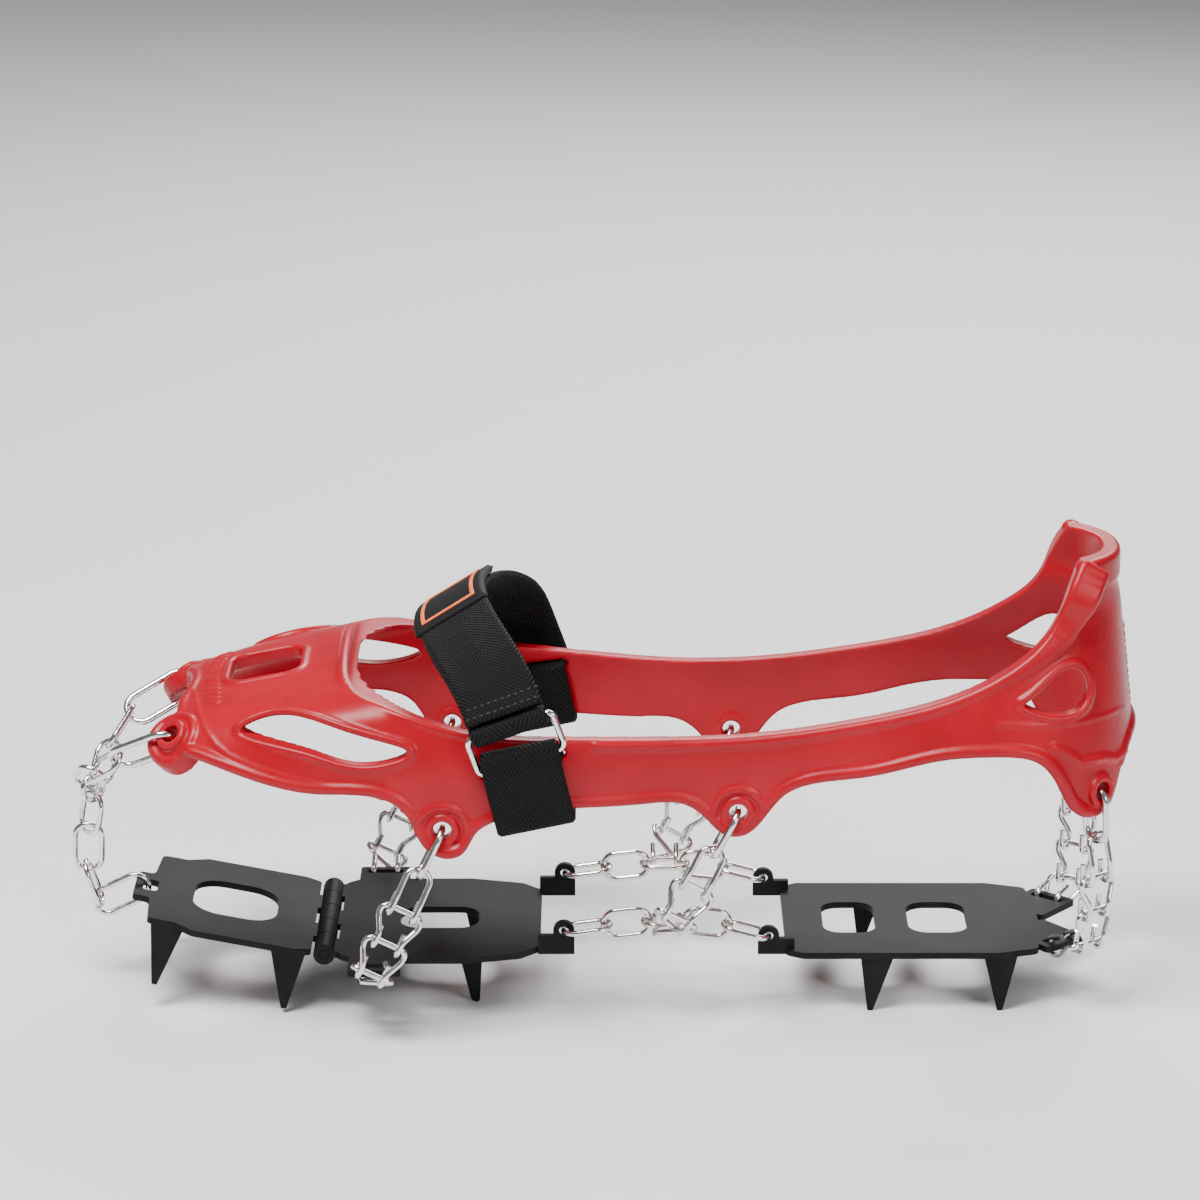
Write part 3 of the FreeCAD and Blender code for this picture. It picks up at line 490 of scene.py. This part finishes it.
def add_collars(bm, beads, tree):
    """A raised collar round each eyelet, and an arched bead over all but the heel ones."""
    for (place, _), (centre, normal) in EYES.items():
        add_annulus(bm, centre, normal, 2.75 * MM, 4.8 * MM, -3.9 * MM, 1.55 * MM)
        up = Vector((0, 0, 1)) if place != "toe" else Vector((0.9, 0, 0.45))
        up = (up - normal * up.dot(normal)).normalized()
        across = normal.cross(up)
        for step in range(0 if place == "heel" else 45):
            angle = math.radians(-5 + step * 190 / 44)
            flat = centre + (across * math.cos(angle) + up * math.sin(angle)) * 7.3 * MM
            spot, face, _, far = tree.ray_cast(flat + normal * 0.02, -normal)
            if spot is not None and far < 0.03:
                beads.line([(spot, face)], 1.3 * MM, 1.1 * MM)
        for step in range(60):
            angle = 2 * math.pi * step / 60
            ring = centre + (across * math.cos(angle) + up * math.sin(angle)) * 4.1 * MM
            beads.add(ring + normal * 0.6 * MM, 0.95 * MM)


def build_harness():
    """The harness with its beads, ridges and collars melted into one moulded skin."""
    bm = node_bmesh("harness")
    tree = BVHTree.FromBMesh(bm)
    beads = Beads()
    add_rims(bm, beads)
    add_ridges(tree, beads)
    add_collars(bm, beads, tree)
    bm.from_mesh(ball_mesh(beads.centres, beads.radii))
    mesh = bpy.data.meshes.new("harness_looks")
    bm.to_mesh(mesh)
    bm.free()
    obj = bpy.data.objects.new("harness_looks", mesh)
    bpy.context.scene.collection.objects.link(obj)
    remesh = obj.modifiers.new("Remesh", "REMESH")
    remesh.mode = "VOXEL"
    remesh.voxel_size = 0.45 * MM
    remesh.adaptivity = 0.0
    smooth = obj.modifiers.new("Smooth", "CORRECTIVE_SMOOTH")
    smooth.use_only_smooth = True
    smooth.factor = 0.6
    smooth.iterations = 5
    apply_modifiers(obj)
    obj.data.materials.clear()
    obj.data.materials.append(RUBBER)
    obj.data.shade_smooth()
    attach(obj, node_body["harness"])
    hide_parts("harness")
    return obj


build_harness()


# ------------------------------------------------------------------ chain, ring and plates

for name, node in nodes.items():
    slot = next(p["material_slot"] for p in record["subparts"] if p["node"] == name)
    if slot in ("chain_steel", "plate_steel"):
        node.data.materials.clear()
        node.data.materials.append(CHAIN if slot == "chain_steel" else PAINT)


def bevelled(name, width, material):
    """A plate's CAD shape with its cut edges rounded over."""
    bm = node_bmesh(name)
    bmesh.ops.dissolve_limit(bm, angle_limit=math.radians(1.0), verts=bm.verts, edges=bm.edges)
    obj = new_object(f"{name}_looks", bm, material, node_body[name], smooth_angle=0)
    bevel = obj.modifiers.new("Bevel", "BEVEL")
    bevel.width = width
    bevel.segments = 3
    bevel.limit_method = "ANGLE"
    bevel.angle_limit = math.radians(38)
    obj.data.shade_smooth()
    flats = obj.modifiers.new("Flats", "WEIGHTED_NORMAL")
    flats.mode = "FACE_AREA"
    flats.weight = 100
    apply_modifiers(obj)
    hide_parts(name)
    return obj


for plate in ("front_spike_plate", "mid_spike_plate", "heel_spike_plate", "hinge_pin"):
    bevelled(plate, 0.35 * MM, PAINT)


# ------------------------------------------------------------------ strap

# All strap sizes and points are in mm, in the strap's own frame.
STRAP_WIDTH = 23.4
HALF_WEB = 0.9
RING_Y = 54.2
FOLD = 2.25
BAR = 5.75
STRAP_REACH = 9.8
STRAP_TWIST = 13.0


def lean_frame(x, z, degrees):
    """Local frame of the strap or its loops: x across the webbing, y across the shoe, z along."""
    angle = math.radians(degrees)
    across = Vector((math.cos(angle), 0, math.sin(angle)))
    along = Vector((-math.sin(angle), 0, math.cos(angle)))
    return Matrix((
        (across.x, 0, along.x, x), (0, 1, 0, 0), (across.z, 0, along.z, z), (0, 0, 0, 1),
    ))


STRAP_PLACE = lean_frame(-24.5, 93.5, 20.0)
LOOP_PLACE = lean_frame(-21.2, 79.5, 12.0)


def spline_points(points, step=0.6):
    """Evenly spaced points of a smooth curve through the given points."""
    pts = np.array(points, float)
    pts = np.vstack([2 * pts[0] - pts[1], pts, 2 * pts[-1] - pts[-2]])
    fine = []
    for a, b, c, d in zip(pts, pts[1:], pts[2:], pts[3:]):
        t = np.linspace(0, 1, 24, endpoint=False)[:, None]
        fine.append(0.5 * (2 * b + (c - a) * t + (2 * a - 5 * b + 4 * c - d) * t**2
                           + (3 * b - a - 3 * c + d) * t**3))
    fine = np.vstack(fine + [pts[-2][None]])
    return even_points(fine, step)


def even_points(fine, step):
    """The polyline's points respaced about a step apart, and how far along it each one is."""
    lengths = np.concatenate([[0], np.cumsum(np.linalg.norm(np.diff(fine, axis=0), axis=1))])
    marks = np.linspace(0, lengths[-1], max(8, int(lengths[-1] / step)) + 1)
    spots = [np.interp(marks, lengths, column) for column in fine.T]
    return np.stack(spots, 1), marks


def bow(y):
    """How far a point is from the strap's two ends: 1 at the crown, 0 at the ring."""
    return max(0.0, 1 - (y / RING_Y) ** 2)


def strap_line(points):
    """The strap's centre line over (y, z) points, reaching forward over the instep."""
    return spline_points([(-STRAP_REACH * bow(y) ** 1.5, y, z) for y, z in points])


def web_frames(spots, twisted, closed):
    """Unit vectors across and out of the webbing at each point of its centre line."""
    tangents = np.gradient(spots, axis=0)
    if closed:
        tangents[0] = tangents[-1] = spots[1] - spots[-2]
    frames = []
    for spot, tangent in zip(spots, tangents):
        turn = math.radians(STRAP_TWIST * bow(spot[1])) if twisted else 0.0
        across = Vector((math.cos(turn), 0, math.sin(turn)))
        rise = across.cross(Vector(tangent)).normalized()
        frames.append((Vector(spot), across, rise))
    return frames


def web_section(width, half, rounding=0.75, across=26):
    """Half outline of the webbing's cross section: (x, height)."""
    top = []
    for x in np.linspace(-1, 1, across + 1):
        edge = max(0.0, (abs(x) * width / 2 - (width / 2 - rounding)) / rounding)
        top.append((x * width / 2, half * math.sqrt(max(0.0, 1 - edge**2.4)) * 0.98 + 0.02))
    return top


def web_strip(name, spots, marks, place, material, body, closed=False, width=STRAP_WIDTH,
              half=HALF_WEB, shift=0.0, twisted=True):
    """A length of webbing with rounded selvedges and a UV map in mm / 100."""
    section = web_section(width, half)
    frames = web_frames(spots, twisted, closed)
    if closed:
        frames = frames[:-1]
    bm = bmesh.new()
    uv = bm.loops.layers.uv.new("UVMap")
    rows = []
    for index, (spot, across, rise) in enumerate(frames):
        reach = min(index, len(frames) - 1 - index)
        taper = 1.0 if closed else (0.35, 0.8, 1.0)[min(reach, 2)]
        row = []
        for face in (1, -1):
            for x, h in (section if face == 1 else section[::-1]):
                point = spot + across * x + rise * (shift + h * face * taper)
                row.append((bm.verts.new((place @ point) * MM), x))
        rows.append(row)
    size = len(rows[0])
    pairs = [(i, i + 1) for i in range(len(rows) - 1)] + ([(len(rows) - 1, 0)] if closed else [])
    for a, b in pairs:
        v0, v1 = marks[a], marks[a + 1]
        for k in range(size):
            n = (k + 1) % size
            quad = (rows[a][k], rows[a][n], rows[b][n], rows[b][k])
            face = bm.faces.new([q[0] for q in quad])
            for loop, q, v in zip(face.loops, quad, (v0, v0, v1, v1)):
                loop[uv].uv = (q[1] / 100, v / 100)
    if not closed:
        for row, v in ((rows[0], marks[0]), (rows[-1], marks[-1])):
            face = bm.faces.new([q[0] for q in row])
            for loop, q in zip(face.loops, row):
                loop[uv].uv = (q[1] / 100, v / 100)
    bmesh.ops.recalc_face_normals(bm, faces=bm.faces)
    return new_object(name, bm, material, body, smooth_angle=60)


def stitches(name, frames, place, height, xs, body):
    """A row of short raised stitches across the webbing at the given frame."""
    bm = bmesh.new()
    spot, across, rise = frames
    along = rise.cross(across)
    for x in xs:
        centre = (place @ (spot + across * x + rise * height)) * MM
        turn = Matrix((across, along, rise)).transposed().to_4x4()
        stretch = Matrix.Diagonal((0.75 * MM, 0.28 * MM, 0.22 * MM, 1.0))
        matrix = Matrix.Translation(centre) @ place.to_3x3().to_4x4() @ turn @ stretch
        bmesh.ops.create_icosphere(bm, subdivisions=2, radius=1.0, matrix=matrix)
    thread = new_object(name, bm, THREAD, body, smooth_angle=0)
    thread.data.shade_smooth()
    return thread


# (y, z) points of the webbing's centre line, from the ring's top bar over the instep.
ARCH = [
    (-RING_Y + FOLD, BAR), (-50.9, 10.0), (-46.5, 16.5), (-38.0, 21.7), (-26.0, 26.2),
    (-13.0, 29.2), (0.0, 30.2), (13.0, 29.2), (26.0, 26.2), (38.0, 21.7), (46.8, 16.3),
    (51.6, 11.3), (53.6, 7.0), (54.1, 3.0), (RING_Y, -2.0), (RING_Y, -8.0), (RING_Y, -13.5),
    (RING_Y, -19.0),
]
FLAP = [
    (-56.0, 9.9), (-53.9, 12.3), (-51.6, 14.4), (-47.9, 18.2), (-39.0, 23.65), (-26.7, 28.35),
    (-14.9, 31.15),
]


WRAP_TURN = 292
WRAP_STEPS = 14


def build_strap():
    """The strap, folded round the ring's top bar, and the flap that closes over it."""
    wrap = []
    for step in range(WRAP_STEPS + 1):
        angle = math.radians(-WRAP_TURN + step * WRAP_TURN / WRAP_STEPS)
        wrap.append((-RING_Y + FOLD * math.cos(angle), BAR + FOLD * math.sin(angle)))
    spots, marks = strap_line(wrap + ARCH[1:])
    strap = web_strip("strap_looks", spots, marks, STRAP_PLACE, WEB, node_body["strap"])
    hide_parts("strap")
    spots, marks = strap_line(FLAP)
    flap = web_strip("strap_flap_looks", spots, marks, STRAP_PLACE, WEB, node_body["strap_flap"])
    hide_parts("strap_flap")
    frames = web_frames(spots, True, False)
    xs = np.arange(-10.4, 10.5, 2.08)
    for row, mark in enumerate((1.5, 4.6)):
        index = int(np.searchsorted(marks, mark))
        stitches(f"flap_stitches_{row + 1}", frames[index], STRAP_PLACE, HALF_WEB,
                 xs + row * 1.04, node_body["strap_flap"])


build_strap()


def rounded_path(corners, radii, step=0.5):
    """Points along a closed polygon with rounded corners."""
    pts = [np.array(c, float) for c in corners]
    out = []
    for index, corner in enumerate(pts):
        before, after = pts[index - 1], pts[(index + 1) % len(pts)]
        u = (before - corner) / np.linalg.norm(before - corner)
        v = (after - corner) / np.linalg.norm(after - corner)
        half = math.acos(max(-1, min(1, float(u @ v)))) / 2
        back = radii[index] / math.tan(half)
        centre = corner + (u + v) / np.linalg.norm(u + v) * radii[index] / math.sin(half)
        start, end = corner + u * back, corner + v * back
        a0 = math.atan2(*(start - centre)[::-1])
        a1 = math.atan2(*(end - centre)[::-1])
        turn = (a1 - a0 + math.pi) % (2 * math.pi) - math.pi
        for k in range(9):
            a = a0 + turn * k / 8
            out.append(centre + radii[index] * np.array([math.cos(a), math.sin(a)]))
    out.append(out[0])
    fine = np.array(out)
    return even_points(np.column_stack([np.zeros(len(fine)), fine]), step)


def build_loops():
    """The loop that holds the ring on the near rail and the plain loop on the far rail."""
    bar = LOOP_PLACE.inverted() @ (STRAP_PLACE @ Vector((0, -RING_Y, -BAR)))
    top = bar.z + FOLD + 1.75
    corners = [
        (-52.2, -13.0), (-RING_Y - FOLD, bar.z - 2.5), (-RING_Y - FOLD, top),
        (-RING_Y + FOLD, top), (-RING_Y + FOLD, 5.6), (-40.3, 5.6), (-40.3, -13.0),
    ]
    spots, marks = rounded_path(corners, [1.6, 4.0, 2.24, 2.24, 1.1, 1.6, 1.6])
    ring_loop = web_strip("strap_ring_loop_looks", spots, marks, LOOP_PLACE, LOOP_WEB,
                          node_body["strap_ring_loop"], closed=True, twisted=False)
    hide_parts("strap_ring_loop")
    side = RING_Y - 2 * HALF_WEB - 0.1
    corners = [(side, -13.0), (side, 5.6), (40.3, 5.6), (40.3, -13.0)]
    spots, marks = rounded_path(corners, [1.6] * 4)
    anchor = web_strip("strap_anchor_loop_looks", spots, marks, LOOP_PLACE, LOOP_WEB,
                       node_body["strap_anchor_loop"], closed=True, twisted=False)
    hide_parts("strap_anchor_loop")


build_loops()

PATCH_WIDTH = 25.4
PATCH_HALF = 1.3
PATCH_TOP = 2.63


def build_label():
    """The blank patch on the strap's crown with its raised orange outline."""
    spots, marks = strap_line(ARCH)
    low = float(np.interp(-14.0, spots[:, 1], marks))
    high = float(np.interp(18.3, spots[:, 1], marks))
    pick = (marks >= low) & (marks <= high)
    patch = web_strip("strap_label_looks", spots[pick], marks[pick], STRAP_PLACE, PATCH,
                      node_body["strap_label"], width=PATCH_WIDTH, half=PATCH_HALF,
                      shift=HALF_WEB + PATCH_TOP - PATCH_HALF)
    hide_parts("strap_label")
    frames = web_frames(spots, True, False)

    def on_patch(x, mark, height):
        index = min(len(marks) - 2, int(np.searchsorted(marks, mark)) - 1)
        share = (mark - marks[index]) / (marks[index + 1] - marks[index])
        spot, across, rise = (
            a.lerp(b, share) for a, b in zip(frames[index], frames[index + 1])
        )
        lift = HALF_WEB + PATCH_TOP + height
        return (STRAP_PLACE @ (spot + across * x + rise * lift)) * MM

    bm = bmesh.new()
    margin, band, tall = 3.4, 1.25, 0.35
    x0, x1 = -PATCH_WIDTH / 2 + margin, PATCH_WIDTH / 2 - margin
    m0, m1 = low + margin, high - margin
    outer = [(x0, m0), (x1, m0), (x1, m1), (x0, m1)]
    inner = [(x0 + band, m0 + band), (x1 - band, m0 + band), (x1 - band, m1 - band),
             (x0 + band, m1 - band)]
    for side in range(4):
        a, b = outer[side], outer[(side + 1) % 4]
        c, d = inner[(side + 1) % 4], inner[side]
        rows = []
        for step in range(41):
            t = step / 40
            out = (a[0] + (b[0] - a[0]) * t, a[1] + (b[1] - a[1]) * t)
            inn = (d[0] + (c[0] - d[0]) * t, d[1] + (c[1] - d[1]) * t)
            row = []
            for share, height in ((0, -0.2), (0, 0.2), (0.15, tall), (0.85, tall), (1, 0.2),
                                  (1, -0.2)):
                x = out[0] + (inn[0] - out[0]) * share
                m = out[1] + (inn[1] - out[1]) * share
                row.append(bm.verts.new(on_patch(x, m, height)))
            rows.append(row)
        for r0, r1 in zip(rows, rows[1:]):
            for k in range(5):
                bm.faces.new((r0[k], r0[k + 1], r1[k + 1], r1[k]))
    bmesh.ops.remove_doubles(bm, verts=bm.verts, dist=1e-6)
    bmesh.ops.recalc_face_normals(bm, faces=bm.faces)
    edge = new_object("strap_label_outline", bm, ORANGE, node_body["strap_label"])


build_label()


# ------------------------------------------------------------------ stage, light and camera

def build_stage():
    bpy.ops.mesh.primitive_plane_add(size=6.0, location=(0, 0, 0))
    floor = bpy.context.object
    floor.name = "floor"
    s = Shader("pale_floor")
    s.set(Base_Color=grey(0.86), Roughness=0.6, Specular_IOR_Level=0.2)
    floor.data.materials.append(s.material)


build_stage()


def add_area(name, place, target, size, power):
    light = bpy.data.lights.new(name, "AREA")
    light.shape = "RECTANGLE"
    light.size, light.size_y = size
    light.energy = power
    obj = bpy.data.objects.new(name, light)
    obj.location = place
    aim = Vector(target) - Vector(place)
    obj.rotation_euler = aim.to_track_quat("-Z", "Y").to_euler()
    bpy.context.scene.collection.objects.link(obj)


add_area("key_light", (-0.35, -0.35, 1.25), (0, 0, 0.08), (0.6, 0.6), 30)
add_area("fill_light", (0.9, -1.1, 0.75), (0, 0, 0.06), (0.7, 0.5), 8)
add_area("back_light", (0.3, 1.1, 0.9), (0, 0, 0.08), (0.9, 0.5), 16)

world = bpy.data.worlds.new("studio")
bpy.context.scene.world = world
world.use_nodes = True
world.node_tree.nodes["Background"].inputs[0].default_value = (0.9, 0.92, 0.95, 1)
world.node_tree.nodes["Background"].inputs[1].default_value = 0.2

camera_data = bpy.data.cameras.new("camera")
camera = bpy.data.objects.new("camera", camera_data)
bpy.context.scene.collection.objects.link(camera)
camera_data.lens = 140.0
camera_data.sensor_width = 36.0
camera.location = VIEW_FROM
camera.rotation_euler = (math.radians(90) - VIEW_TILT, 0, 0)
bpy.context.scene.camera = camera

bpy.context.view_layer.update()
